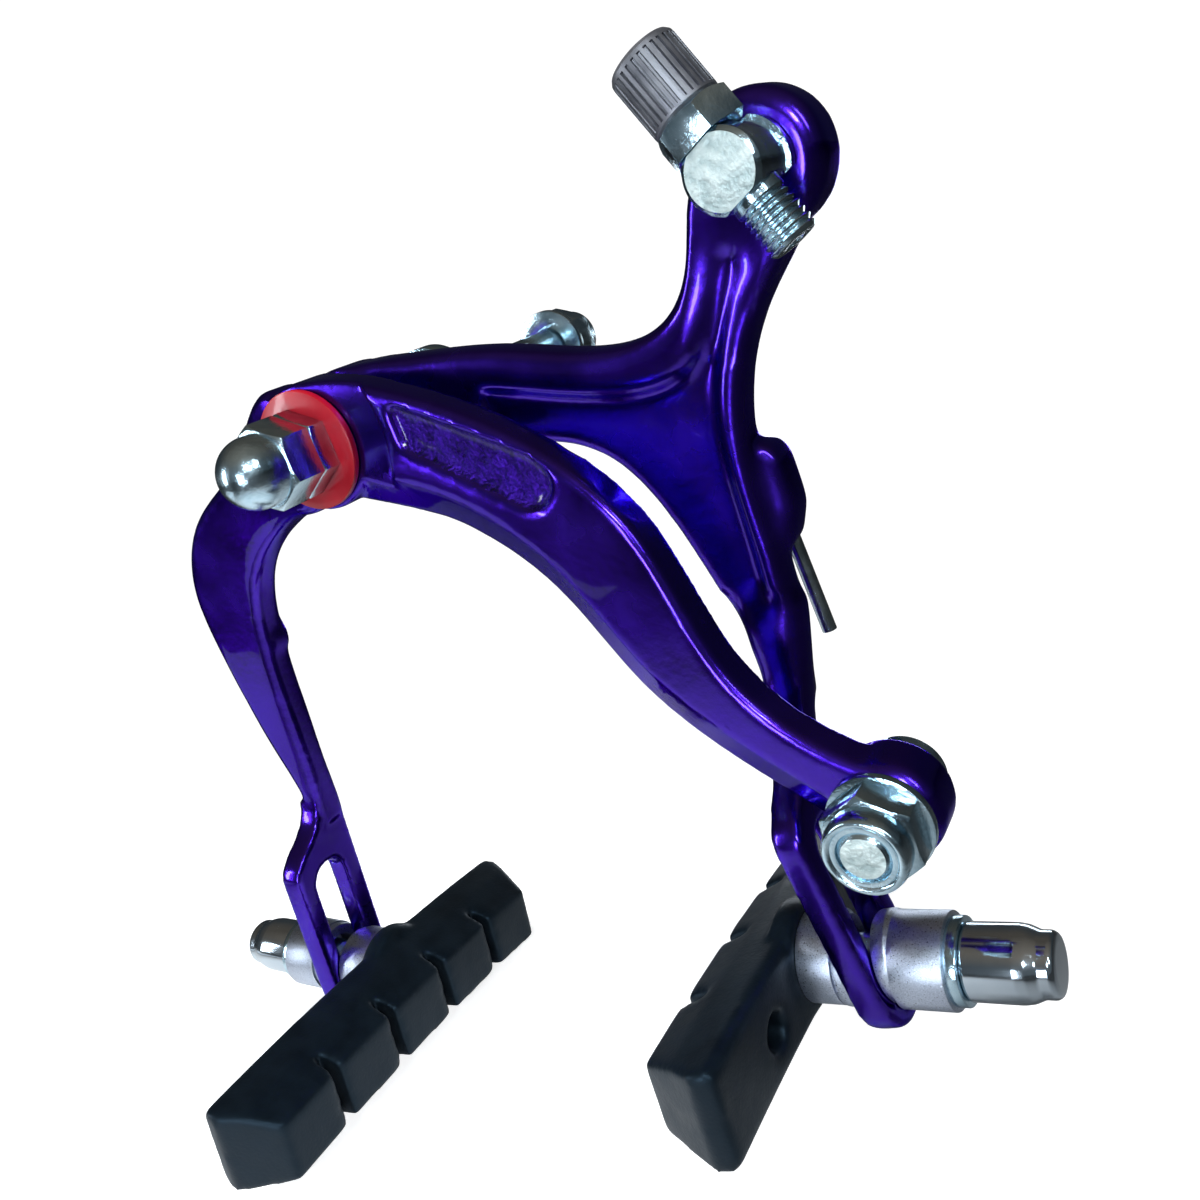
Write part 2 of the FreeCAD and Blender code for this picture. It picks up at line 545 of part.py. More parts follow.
# Return spring: one bent wire from the left leg through the block to the right arm
wire = doc.addObject("Part::Feature", "return_spring")
wire.Label = "return_spring"
run_y, run_z = sheet.face_y + sheet.wire_y, sheet.wire_z
stops = [V(-41.6, sheet.face_y + 13.4, -35), V(-41.6, sheet.face_y + 13.6, -22),
         V(-33, sheet.face_y + 16, -4), V(-11, run_y, run_z), V(11, run_y, run_z),
         V(40, sheet.face_y + 18.4, -5),
         V(52.2, sheet.face_y + 17.3 + sheet.wire_r, -20), V(53.9, sheet.face_y + 16.9 + sheet.wire_r, -43)]
runs = []
last = stops[0]
for before, corner, after in zip(stops, stops[1:], stops[2:]):
    back_way, on_way = (before - corner).normalize(), (after - corner).normalize()
    half = 0.5 * back_way.getAngle(on_way)
    room = 0.45 * min((before - corner).Length, (after - corner).Length)
    reach = min(sheet.wire_bend / math.tan(half), room)
    radius = reach * math.tan(half)
    middle = corner + (back_way + on_way).normalize() * (radius / math.sin(half) - radius)
    bend_in, bend_out = corner + back_way * reach, corner + on_way * reach
    runs += [Part.LineSegment(last, bend_in).toShape(), Part.Arc(bend_in, middle, bend_out).toShape()]
    last = bend_out
runs.append(Part.LineSegment(last, stops[-1]).toShape())
start = Part.Wire([Part.Circle(stops[0], stops[1] - stops[0], sheet.wire_r).toShape()])
wire.Shape = Part.Wire(runs).makePipeShell([start], True, False)

# Cable adjuster on the eye of the rear arm
swivel = body("adjuster_swivel")
collar_low = "boss_t - play + 0.1"
collar_top = collar_low + " + swivel_collar_t"
turned(swivel, [("0", "swivel_front"), ("swivel_r - 0.5", "swivel_front"), ("swivel_r", "swivel_front + 0.5"),
                ("swivel_r", collar_low), ("swivel_collar_r", collar_low),
                ("swivel_collar_r", collar_top), ("swivel_pin_r", collar_top),
                ("swivel_pin_r", "swivel_tail - 0.5"), ("swivel_pin_r - 0.5", "swivel_tail"),
                ("0", "swivel_tail")], "Y")
along = (V(0, 0, 1), "0 - adjuster_turn")
for way in (1, -1):
    near, far = "%d*swivel_flat" % way, "%d*swivel_r + %d" % (way, way)
    upright(swivel, [(near, "-6"), (far, "-6"), (far, "6"), (near, "6")], "swivel_front - 1",
            collar_top + " - swivel_front + 1", along, cut=True)
cross = sketch(swivel, "XY_Plane", ("0", "0", "0"), (V(0, 1, 0), "adjuster_turn + 90"))
circle(cross, ("0", "cable_y"), "screw_r + thread_fit")
pad(swivel, cross, "through", cut=True)
clip_low = "swivel_tail - 0.6 - clip_t"
tube(swivel, "swivel_pin_r - clip_groove", "swivel_pin_r + 1",
     clip_low + " - 0.03", clip_low + " + clip_t + 0.03", "Y", cut=True)
place(swivel, "eye_x", "face_y", "eye_z")
tail_back = clip_low + " - 0.05"
tail = washer("adjuster_washer", "swivel_pin_r + hole_ease", "tail_washer_r",
              tail_back + " - tail_washer_t", tail_back)
place(tail, "eye_x", "face_y", "eye_z")
clip = washer("adjuster_clip", "swivel_pin_r - clip_groove + 0.03", "clip_r",
              clip_low, clip_low + " + clip_t")
mouth = sketch(clip, "XZ_Plane")
ring(mouth, [("-1.6", "0"), ("1.6", "0"), ("2.6", "0 - clip_r - 1"), ("-2.6", "0 - clip_r - 1")])
pad(clip, mouth, "through", cut=True)
place(clip, "eye_x", "face_y", "eye_z")

barrel = body("adjuster_barrel")
profile = [("0", "0 - screw_low")]
rings = 6
for step in range(rings):
    crest = "0 - screw_low + %d*screw_pitch" % step
    profile.append(("screw_r - screw_depth", crest))
    profile.append(("screw_r", crest + " + 0.5*screw_pitch"))
profile += [("screw_r - screw_depth", "0 - screw_low + %d*screw_pitch" % rings),
            ("screw_r", "0 - screw_low + %d*screw_pitch + 0.4" % rings), ("screw_r", "barrel_low"),
            ("barrel_r - 0.5", "barrel_low"), ("barrel_r", "barrel_low + 0.5"),
            ("barrel_r", "barrel_top - barrel_round"),
            ("barrel_r - barrel_round", "barrel_top"), ("0", "barrel_top")]
turned(barrel, profile, "X")
flute = sketch(barrel, "YZ_Plane", ("0", "0", "barrel_low - 0.2"))
circle(flute, ("0", "barrel_r + 0.1"), "flute_r")
first_flute = pad(barrel, flute, "barrel_top - barrel_low - barrel_round - 0.6", back=True, cut=True)
flutes = barrel.newObject("PartDesign::PolarPattern", "flutes")
flutes.Originals = [first_flute]
flutes.Axis = (flute, ["N_Axis"])
flutes.Angle = 360
flutes.Occurrences = 24
barrel.Tip = flutes
tube(barrel, "0", "cable_r", "0 - screw_low - 1", "barrel_top + 1", "X", cut=True)
tube(barrel, "0", "housing_r", "barrel_top - housing_deep", "barrel_top + 1", "X", cut=True)
place(barrel, "eye_x", "face_y + cable_y", "eye_z", "adjuster_turn")
check = nut("adjuster_lock_nut", "adj_nut_af", "screw_r + thread_fit", "adj_nut_low", "adj_nut_t", "X", "+")
place(check, "eye_x", "face_y + cable_y", "eye_z", "adjuster_turn")

# Cable anchor at the end of the front arm
anchor = body("anchor_bolt")
nut_low = "0 - anchor_face - play - anchor_washer_t"
anchor_tip = nut_low + " - anchor_nut_t - anchor_end"
head_low = "0 - anchor_face + anchor_boss_t + play"
turned(anchor, [("0", anchor_tip), ("stud_r - 0.6", anchor_tip), ("stud_r", anchor_tip + " + 0.6"),
                ("stud_r", head_low), ("anchor_head_r", head_low),
                ("anchor_head_r", head_low + " + anchor_head_t - 0.7"),
                ("anchor_head_r - 0.7", head_low + " + anchor_head_t"),
                ("0", head_low + " + anchor_head_t")], "Y")
cable = sketch(anchor, "XY_Plane")
circle(cable, ("0", head_low + " + 0.5*anchor_head_t"), "anchor_hole_r")
pad(anchor, cable, "through", cut=True)
ring_washer = washer("anchor_washer", "stud_r + hole_ease", "anchor_washer_r",
                     nut_low, nut_low + " + anchor_washer_t")
grip = nut("anchor_nut", "nut_af", "stud_r + thread_fit", nut_low, "anchor_hex_t", "Y", "-",
           ("anchor_collar_r", "anchor_nut_t"))
for piece in (anchor, ring_washer, grip):
    place(piece, "anchor_x", "face_y", "anchor_z")

# Brake shoes, drawn with X along the stud away from the wheel
nut_base = "collar_end + dish_t"
for hand, side, turn in (("left", -1, "180 + "), ("right", 1, "0 - ")):
    lean, tilt = hand + "_lean", hand + "_tilt"
    stud = body(hand + "_shoe_stud")
    turned(stud, [("0", "0 - inner_cup_end - pad_grip"), ("shoe_stud_r", "0 - inner_cup_end - pad_grip"),
                  ("shoe_stud_r", nut_base + " + 8"), ("0", nut_base + " + 8")], "X")
    ease = "shoe_stud_r + hole_ease"
    cup = domed(hand + "_inner_cup", "dome_r + cup_gap", ease, "cup_r", "0 - inner_cup_end", "-")
    collar = domed(hand + "_outer_cup", "dome_r + cup_gap", ease, "cup_r", "collar_end", "+")
    dish = washer(hand + "_dish_washer", ease, "dish_r", "collar_end", "collar_end + dish_t", "X")
    top = body(hand + "_shoe_nut")
    tip = nut_base + " + shoe_nut_t"
    turned(top, [("0", nut_base), ("shoe_nut_r - 0.3", nut_base), ("shoe_nut_r", nut_base + " + 0.3"),
                 ("shoe_nut_r", tip + " - shoe_nut_taper - 1"),
                 ("shoe_nut_r - 0.4", tip + " - shoe_nut_taper"),
                 ("shoe_nut_tip + 0.4", tip + " - shoe_nut_taper + 0.8"), ("shoe_nut_tip", tip + " - 1"),
                 ("shoe_nut_tip - 0.9", tip), ("0", tip)], "X")
    tube(top, "0", "shoe_stud_r + thread_fit", nut_base + " - 1", nut_base + " + 8.2", "X", cut=True)
    rubber = body(hand + "_pad")
    up = (lambda expr: expr) if side > 0 else flip
    seat = "0 - inner_cup_end"
    back, face = seat + " - pad_hub_t", seat + " - pad_t"
    step = back + " - pad_sole"
    outline = [(back, "pad_up - 1.2"), (back + " - 1.2", "pad_up"), (step, "pad_shoulder"),
               (face, "pad_face_up"), (face, "0 - pad_face_down"), (step, "0 - pad_down"),
               (back + " - 1.2", "0 - pad_down"), (back, "0 - pad_down + 1.2")]
    middle = "%d*pad_off" % side
    section = sketch(rubber, "XZ_Plane", ("0", up("0 - pad_bend_r"), flip(middle)))
    ring(section, [(x, up("pad_bend_r + " + z)) for x, z in outline])
    bend = rubber.newObject("PartDesign::Revolution", "bend")
    bend.Profile = section
    bend.ReferenceAxis = (section, ["H_Axis"])
    bend.Midplane = True
    bend.Angle = 11.2
    section.Visibility = False
    for way in (1, -1):
        end = middle + " + %s*pad_long" % (0.5 * way)
        wedge = sketch(rubber, "XY_Plane")
        inner, outer = end + " - %d*pad_end" % way, end + " + %d" % (12 * way)
        corner = end + " - %d*pad_end_back" % way
        ring(wedge, [(face + " - 1", inner), (face, inner), (back + " - 3", end), (back, corner),
                     (back + " + 1", corner), (back + " + 1", outer), (face + " - 1", outer)])
        pad(rubber, wedge, "through", cut=True)
    for count in (-1.5, -0.5, 0.5, 1.5):
        mid = middle + " + %s*pad_pitch" % count
        groove = sketch(rubber, "XY_Plane")
        bottom = face + " + pad_groove_deep"
        ring(groove, [(face + " - 1", mid + " - pad_groove"), (bottom, mid + " - 0.8*pad_groove"),
                      (bottom, mid + " + 0.8*pad_groove"), (face + " - 1", mid + " + pad_groove")])
        pad(rubber, groove, "through", cut=True)
    dot = sketch(rubber, "YZ_Plane", ("0", "0", back))
    circle(dot, ("0 - pad_hole_y", up("-2.2")), "pad_hole_r")
    pad(rubber, dot, "5", cut=True)
    turned(rubber, [("0", back + " - 3"), ("pad_hub_r", back + " - 3"), ("pad_hub_r", back),
                    ("pad_hub_r - 0.7", seat), ("0", seat)], "X")
    tube(rubber, "0", "shoe_stud_r + thread_fit", seat + " - pad_grip", seat + " + 1", "X", cut=True)
    for piece in (stud, cup, collar, dish, top, rubber):
        place(piece, hand + "_x", "face_y + shoe_y", hand + "_z", turn + tilt)
    roll = FreeCAD.Rotation(V(1, 0, 0), amount("%d*pad_roll" % -side))
    rubber.setExpression("Placement.Rotation.Angle", None)
    rubber.Placement.Rotation = FreeCAD.Rotation(V(0, 1, 0), amount(turn + tilt)) * roll
    flat = "0.5*plate_t + play"
    for name, end, way in (("inner", flip(flat), "-"), ("outer", flat, "+")):
        dome = domed("%s_%s_dome" % (hand, name), "dome_r", "dome_bore", "dome_washer_r", end, way)
        place(dome, hand + "_x", "face_y + shoe_y", hand + "_z", turn + lean)

# Check and write every piece
doc.recompute()
os.makedirs("parts", exist_ok=True)
for obj in doc.Objects:
    if "Invalid" in obj.State or "Error" in obj.State:
        raise RuntimeError("failed: %s of %s" % (obj.Name, [p.Label for p in obj.InList]))
for obj in doc.Objects:
    if obj.isDerivedFrom("PartDesign::Body") or obj.Name == "return_spring":
        if obj.Shape.isNull() or not obj.Shape.isValid() or len(obj.Shape.Solids) != 1:
            raise RuntimeError("bad shape: " + obj.Label)
        obj.Shape.exportStep("parts/%s.step" % obj.Label)
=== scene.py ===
# %% [markdown]
# A side-pull caliper brake for a bicycle wheel, dressed for the camera.
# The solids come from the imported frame. Each one keeps its place and its size here,
# and gets the soft edges, the finish and the small marks that the real piece shows.
# Blender works in metres. Most places on the brake are given in millimetres, as on a drawing.

# %% Load the frame
import json
import math

import bpy
from mathutils import Matrix, Vector

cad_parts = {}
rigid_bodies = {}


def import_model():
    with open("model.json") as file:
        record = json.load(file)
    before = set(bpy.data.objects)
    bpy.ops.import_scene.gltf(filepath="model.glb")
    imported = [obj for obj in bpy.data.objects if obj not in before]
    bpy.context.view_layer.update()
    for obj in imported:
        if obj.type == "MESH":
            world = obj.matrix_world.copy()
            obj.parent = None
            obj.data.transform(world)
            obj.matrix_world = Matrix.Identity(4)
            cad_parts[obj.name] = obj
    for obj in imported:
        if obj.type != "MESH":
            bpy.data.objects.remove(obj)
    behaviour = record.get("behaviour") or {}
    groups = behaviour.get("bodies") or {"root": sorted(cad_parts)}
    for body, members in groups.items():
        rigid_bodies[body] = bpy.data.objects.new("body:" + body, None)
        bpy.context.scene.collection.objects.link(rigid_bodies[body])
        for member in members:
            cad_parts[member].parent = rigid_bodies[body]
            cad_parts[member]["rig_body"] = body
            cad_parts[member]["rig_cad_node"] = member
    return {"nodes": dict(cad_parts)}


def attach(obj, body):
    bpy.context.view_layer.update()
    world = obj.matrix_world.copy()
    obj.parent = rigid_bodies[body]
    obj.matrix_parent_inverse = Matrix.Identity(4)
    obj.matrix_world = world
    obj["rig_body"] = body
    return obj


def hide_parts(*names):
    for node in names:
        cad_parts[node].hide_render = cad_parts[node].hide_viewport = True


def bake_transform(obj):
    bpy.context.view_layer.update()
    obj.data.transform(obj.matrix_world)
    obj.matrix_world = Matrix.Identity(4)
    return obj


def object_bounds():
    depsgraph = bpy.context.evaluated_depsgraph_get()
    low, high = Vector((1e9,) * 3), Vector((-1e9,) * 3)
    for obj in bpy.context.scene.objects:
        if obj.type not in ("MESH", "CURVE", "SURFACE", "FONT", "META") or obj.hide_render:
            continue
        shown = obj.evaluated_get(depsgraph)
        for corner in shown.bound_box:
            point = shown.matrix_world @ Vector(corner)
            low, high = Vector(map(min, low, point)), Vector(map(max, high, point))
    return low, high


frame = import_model()
nodes = frame["nodes"]
cad_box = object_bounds()
MM = 0.001
print("pieces in the frame:", len(nodes))

# %% [markdown]
# Blender's operators work on whatever is selected, so a lesson in operators starts with
# helpers for that: one selects only the objects named, two open and close a mesh for
# editing, and one clears old marks before code selects vertices or faces by their place.

# %% Selecting
def pick(*objects):
    if bpy.context.object and bpy.context.object.mode != "OBJECT":
        bpy.ops.object.mode_set(mode="OBJECT")
    bpy.ops.object.select_all(action="DESELECT")
    for each in objects:
        each.select_set(True)
    bpy.context.view_layer.objects.active = objects[0]


def open_mesh(piece):
    pick(piece)
    bpy.ops.object.mode_set(mode="EDIT")
    bpy.ops.mesh.select_all(action="SELECT")


def close_mesh():
    bpy.ops.object.mode_set(mode="OBJECT")


def unmark(piece, kind):
    open_mesh(piece)
    bpy.ops.mesh.select_mode(type=kind)
    bpy.ops.mesh.select_all(action="DESELECT")
    close_mesh()


def in_mm(point):
    return tuple(c / MM for c in point)


print("selection helpers ready")

# %% [markdown]
# A CAD solid arrives as loose triangles. A copy of it is welded into one skin,
# and then it can be rounded, smoothed and shaded like any modelled piece.
# The copy stands in for its solid and rides on the same body.

# %% Copying a solid
WELD_GAP = 1e-6


def weld(piece):
    open_mesh(piece)
    bpy.ops.mesh.remove_doubles(threshold=WELD_GAP)
    close_mesh()


def bare_skin(node):
    pick(nodes[node])
    bpy.ops.object.duplicate()
    piece = bpy.context.object
    piece.parent = None
    piece.matrix_world = Matrix.Identity(4)
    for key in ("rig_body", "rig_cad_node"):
        if key in piece:
            del piece[key]
    piece.name = node + "_skin"
    piece.data.name = piece.name
    bpy.ops.mesh.customdata_custom_splitnormals_clear()
    weld(piece)
    return piece


def stand_in(piece, node):
    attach(piece, nodes[node]["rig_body"])
    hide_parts(node)


def skin_of(node):
    piece = bare_skin(node)
    stand_in(piece, node)
    return piece


def apply_modifier(piece, kind, **settings):
    pick(piece)
    modifier = piece.modifiers.new(kind.lower(), kind)
    for key, value in settings.items():
        setattr(modifier, key, value)
    bpy.ops.object.modifier_apply(modifier=modifier.name)


print("copy helpers ready")

# %% [markdown]
# Cast and moulded pieces have no sharp edge anywhere: the metal or rubber flows into
# rounded corners. Bevels on every edge could give that, but they fail where many edges meet.
# A fine voxel skin, smoothed a few times, is round all over. Some places are rounder still,
# so a vertex group gives each of them extra smoothing, with a weight from 0 to 1 that
# fades out before the bores and bosses that have to keep their size.

# %% Soft castings
def voxel_skin(piece, voxel, rounds):
    apply_modifier(piece, "REMESH", mode="VOXEL", voxel_size=voxel)
    apply_modifier(piece, "SMOOTH", factor=0.5, iterations=rounds)
    return piece


def soften(piece, name, weight, rounds):
    group = piece.vertex_groups.new(name=name)
    steps = {}
    for vertex in piece.data.vertices:
        share = round(weight(*in_mm(vertex.co)), 1)
        steps.setdefault(max(0.0, min(1.0, share)), []).append(vertex.index)
    for share, members in steps.items():
        group.add(members, share, "REPLACE")
    apply_modifier(piece, "SMOOTH", factor=0.5, iterations=rounds, vertex_group=name)
    print(piece.name, name, "points:",
          sum(len(members) for share, members in steps.items() if share))


def thin_out(piece, keep):
    apply_modifier(piece, "DECIMATE", ratio=keep)
    pick(piece)
    bpy.ops.object.shade_smooth()
    print(piece.name, "faces:", len(piece.data.polygons))


print("casting helpers ready")

# %% [markdown]
# The front arm is one casting: a bridge to the cable anchor on the right, and a limb that
# bends down to the left pad. The limb flows like a rolled bar and its slotted end is nearly
# round in section, while the bridge keeps the crisp line between its face and its long bevel.
# The form could be sculpted from nothing, but the solid has every bore in its place already,
# so it is softened instead. Each weight is a distance from a border, divided by the width
# over which it fades in.

# %% Front arm
LIMB_EDGE_X, LIMB_END_Z = -14.0, -58.0
SLOT_TOP_Z, LEFT_LEG_X = -52.0, -20.0
PANEL_LEFT_X, PANEL_RIGHT_X, PANEL_LOW_Z = 13.5, 40.0, -17.0
PANEL_EDGE_X, PANEL_EDGE_Z, PANEL_SLOPE = 18.2, 4.0, 0.571
BRIDGE_FRONT_Y = -26.0


def left_limb(x, y, z):
    return min((LIMB_EDGE_X - x) / 6.0, (z - LIMB_END_Z) / 8.0)


def slotted_end(x, y, z):
    return (SLOT_TOP_Z - z) / 8.0


def left_slotted_end(x, y, z):
    return min(slotted_end(x, y, z), (LEFT_LEG_X - x) / 4.0)


def panel_walls(x, y, z):
    if y > BRIDGE_FRONT_Y:
        return 0.0
    top = PANEL_EDGE_Z - PANEL_SLOPE * (x - PANEL_EDGE_X)
    return min((x - PANEL_LEFT_X) / 2.0, (PANEL_RIGHT_X - x) / 2.0,
               top - z, (z - PANEL_LOW_Z) / 2.0)


front_arm = voxel_skin(skin_of("front_arm"), voxel=0.3 * MM, rounds=18)
soften(front_arm, "limb", left_limb, rounds=60)
soften(front_arm, "panel", panel_walls, rounds=30)
soften(front_arm, "leg", left_slotted_end, rounds=36)
thin_out(front_arm, keep=0.35)

# %% [markdown]
# The rear arm has thick rolled ribs that sink into the web between them. They need far more
# rounding than the bored ends do. The groove between the two ribs runs out gently
# at the top of the stem, and so does the web where the leg begins. Fillets fail where so many
# curved walls meet, and smoothing by weight doesn't.

# %% Rear arm
PIVOT_BOSS_R = 10.0
EYE_X, EYE_Z, EYE_R = 65.9, 12.0, 9.0
GROOVE_X, GROOVE_Z = 56.0, -3.0
GROOVE_RUN_X, GROOVE_RUN_Z, GROOVE_RUN_SQUARED = 4.4, 8.4, 89.9
GROOVE_HALF_WIDTH, GROOVE_FRONT_Y, GROOVE_LEAST_SHARE = 4.2, -17.4, 0.3
WEB_END_X, WEB_END_Z, WEB_END_R, WEB_FRONT_Y = 48.5, -39.5, 7.5, -17.0


def rolled_ribs(x, y, z):
    from_boss = math.hypot(x, z) - PIVOT_BOSS_R
    from_eye = math.hypot(x - EYE_X, z - EYE_Z) - EYE_R
    return min(from_boss / 4.0, from_eye / 4.0, (z - LIMB_END_Z) / 8.0)


def stem_groove(x, y, z):
    right, above = x - GROOVE_X, z - GROOVE_Z
    along = (right * GROOVE_RUN_X + above * GROOVE_RUN_Z) / GROOVE_RUN_SQUARED
    along = max(0.0, min(1.0, along))
    aside = math.hypot(right - GROOVE_RUN_X * along, above - GROOVE_RUN_Z * along)
    across = max(0.0, min(1.0, (GROOVE_HALF_WIDTH - aside) / 2.0, GROOVE_FRONT_Y - y))
    return across * min(1.0, GROOVE_LEAST_SHARE + along)


def web_end(x, y, z):
    aside = math.hypot(x - WEB_END_X, z - WEB_END_Z)
    return min((WEB_END_R - aside) / 3.0, WEB_FRONT_Y - y)


rear_arm = voxel_skin(skin_of("rear_arm"), voxel=0.36 * MM, rounds=12)
soften(rear_arm, "ribs", rolled_ribs, rounds=90)
soften(rear_arm, "groove", stem_groove, rounds=300)
soften(rear_arm, "web", web_end, rounds=300)
soften(rear_arm, "leg", slotted_end, rounds=36)
thin_out(rear_arm, keep=0.45)

# %% [markdown]
# Turned and pressed hardware has crisp edges with a tiny break that catches the light.
# A narrow bevel on every edge over about thirty degrees makes that break, and leaves
# the facets of round walls alone.

# %% Machined hardware
EDGE_BREAK = 0.12 * MM
EDGE_ANGLE = math.radians(32)
own_model = {"front_arm", "rear_arm", "left_pad", "right_pad",
             "left_shoe_nut", "right_shoe_nut", "return_spring"}


def machined(node):
    piece = skin_of(node)
    apply_modifier(piece, "BEVEL", width=EDGE_BREAK, segments=2, limit_method="ANGLE",
                   angle_limit=EDGE_ANGLE, use_clamp_overlap=True)
    pick(piece)
    bpy.ops.object.shade_smooth_by_angle(angle=EDGE_ANGLE)
    return piece


hardware = {name: machined(name) for name in sorted(nodes) if name not in own_model}
print("hardware pieces:", len(hardware))

# %% [markdown]
# The return spring is one bent wire. The block holds its middle, and each end leans on one arm,
# so half of the wire flexes whenever an arm swings. The copy is cut in two inside the block,
# where nobody sees the cut.
# The places where a half is held and where it leans are in metres.

# %% Return spring
SPRING_HALVES = {
    "left": ("front_arm", (-0.009, -0.0088, 0.004), (-0.0415, -0.016, -0.022)),
    "right": ("rear_arm", (0.009, -0.0088, 0.004), (0.0515, -0.011, -0.020)),
}
spring_wires = {hand: bare_skin("return_spring") for hand in SPRING_HALVES}
for hand, (arm, held_at, leaning_at) in SPRING_HALVES.items():
    wire = spring_wires[hand]
    wire.name = hand + "_spring_wire"
    open_mesh(wire)
    bpy.ops.mesh.bisect(plane_co=(0, 0, 0), plane_no=(1, 0, 0), use_fill=True,
                        clear_outer=hand == "left", clear_inner=hand == "right")
    close_mesh()
    bpy.ops.object.shade_smooth_by_angle(angle=EDGE_ANGLE)
    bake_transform(wire)
    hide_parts("return_spring")
    hardware[wire.name] = wire
    print(wire.name, "faces:", len(wire.data.polygons))

# %% [markdown]
# Turned pieces start as a circle that is drawn out ring by ring along Z, each ring with its
# own radius. Rings are pairs of radius and place along the axis. A full piece is closed with
# a flat end, and a sleeve is bridged back to its first ring, so each is one closed shell.

# %% Lathe
def lathe(name, rings, sides=96, fill="NGON"):
    radius, along = rings[0]
    bpy.ops.object.select_all(action="DESELECT")
    bpy.ops.mesh.primitive_circle_add(vertices=sides, radius=radius * MM, fill_type=fill,
                                      location=(0, 0, 0))
    piece = bpy.context.object
    piece.name = name
    open_mesh(piece)
    bpy.ops.transform.translate(value=(0, 0, along * MM))
    for ring_radius, ring_along in rings[1:]:
        draw = {"value": (0, 0, (ring_along - along) * MM)}
        if fill == "NGON":
            bpy.ops.mesh.extrude_region_move(TRANSFORM_OT_translate=draw)
        else:
            bpy.ops.mesh.extrude_edges_move(TRANSFORM_OT_translate=draw)
        bpy.ops.transform.resize(value=(ring_radius / radius, ring_radius / radius, 1))
        radius, along = ring_radius, ring_along
    bpy.ops.mesh.select_all(action="DESELECT")
    bpy.ops.mesh.select_non_manifold()
    if fill == "NGON":
        bpy.ops.mesh.edge_face_add()
    else:
        bpy.ops.mesh.bridge_edge_loops()
    bpy.ops.mesh.select_all(action="SELECT")
    bpy.ops.mesh.normals_make_consistent(inside=False)
    close_mesh()
    return piece


print("lathe ready")

# %% [markdown]
# A real turned edge is never sharp, so a bevel rounds the rings. Then the piece is
# swung from Z onto its real axis and moved to its place, all inside its mesh.

# %% Rounding and placing turned pieces
RING_ANGLE, SHADE_ANGLE = math.radians(8), math.radians(35)


def round_rings(piece, width):
    apply_modifier(piece, "BEVEL", width=width, segments=3, limit_method="ANGLE",
                   angle_limit=RING_ANGLE, use_clamp_overlap=True)
    weld(piece)
    bpy.ops.object.shade_smooth_by_angle(angle=SHADE_ANGLE)


def swing(piece, axis, degrees, at):
    open_mesh(piece)
    bpy.ops.transform.rotate(value=-math.radians(degrees), orient_axis=axis,
                             center_override=(0, 0, 0))
    bpy.ops.transform.translate(value=[c * MM for c in at])
    close_mesh()


print("rounding and placing ready")

# %% [markdown]
# The pads are pressed from one lump of rubber. A turned plug cuts the moulding hole in the back
# of each pad to its full width. Then the soft skin is made, and the cross grooves are drawn
# together: the points around each groove are scaled along the pad towards its middle.

# %% Brake pads
SHOE_TURN = {"left": 188.0, "right": 1.0}
PAD_HOLE_AT = {"left": (-38.1, -38.1, -83.8), "right": (43.2, -38.1, -83.8)}
PLUG_RINGS = ((2.5, 2.0), (2.4, -1.0), (1.9, -4.5))
PAD_MIDDLE_Y = {"left": -31.0, "right": -19.0}
GROOVE_FLOOR_X = {"left": -30.6, "right": 35.6}
GROOVE_PITCH, GROOVE_REACH, GROOVE_SQUEEZE = 13.0, 2.1, 0.6


def draw_grooves_together(pad, hand):
    floor_x = GROOVE_FLOOR_X[hand]
    for step in (-1.5, -0.5, 0.5, 1.5):
        middle = PAD_MIDDLE_Y[hand] + step * GROOVE_PITCH
        unmark(pad, "VERT")
        for vertex in pad.data.vertices:
            x, y, z = in_mm(vertex.co)
            in_tread = x > floor_x if hand == "left" else x < floor_x
            vertex.select = in_tread and abs(y - middle) < GROOVE_REACH
        bpy.ops.object.mode_set(mode="EDIT")
        bpy.ops.transform.resize(value=(1, GROOVE_SQUEEZE, 1),
                                 center_override=(0, middle * MM, 0))
        close_mesh()


def brake_pad(hand):
    pad = skin_of(hand + "_pad")
    plug = lathe(hand + "_plug", PLUG_RINGS, sides=48)
    swing(plug, "Y", 90 + SHOE_TURN[hand], PAD_HOLE_AT[hand])
    apply_modifier(pad, "BOOLEAN", operation="DIFFERENCE", solver="EXACT", object=plug)
    pick(plug)
    bpy.ops.object.delete()
    voxel_skin(pad, voxel=0.4 * MM, rounds=10)
    draw_grooves_together(pad, hand)
    apply_modifier(pad, "SMOOTH", factor=0.5, iterations=16)
    thin_out(pad, keep=0.4)
    return pad


left_pad = brake_pad("left")
right_pad = brake_pad("right")

# %% [markdown]
# The nuts on the shoe studs are turned from bar and chromed, so any flat in their skin would
# show. They could keep the solid's facets, but a new turned piece is smoother. Each has
# a straight body, a drawn-in shoulder and a slightly smaller end.

# %% Shoe nuts
NUT_RINGS = ((4.4, 11.9), (4.7, 12.2), (4.7, 18.2), (4.5, 19.4), (4.1, 20.3),
             (3.95, 20.6), (3.95, 21.9), (3.6, 22.45), (2.8, 22.6))
STUD_AT = {"left": (-46.8, -25.0, -86.1), "right": (52.0, -25.0, -82.7)}
for hand, at in STUD_AT.items():
    shoe_nut = lathe(hand + "_chrome_nut", NUT_RINGS)
    swing(shoe_nut, "Y", 90 + SHOE_TURN[hand], at)
    round_rings(shoe_nut, 0.35 * MM)
    stand_in(shoe_nut, hand + "_shoe_nut")
    hardware[hand + "_shoe_nut"] = shoe_nut
    print(shoe_nut.name, "faces:", len(shoe_nut.data.polygons))

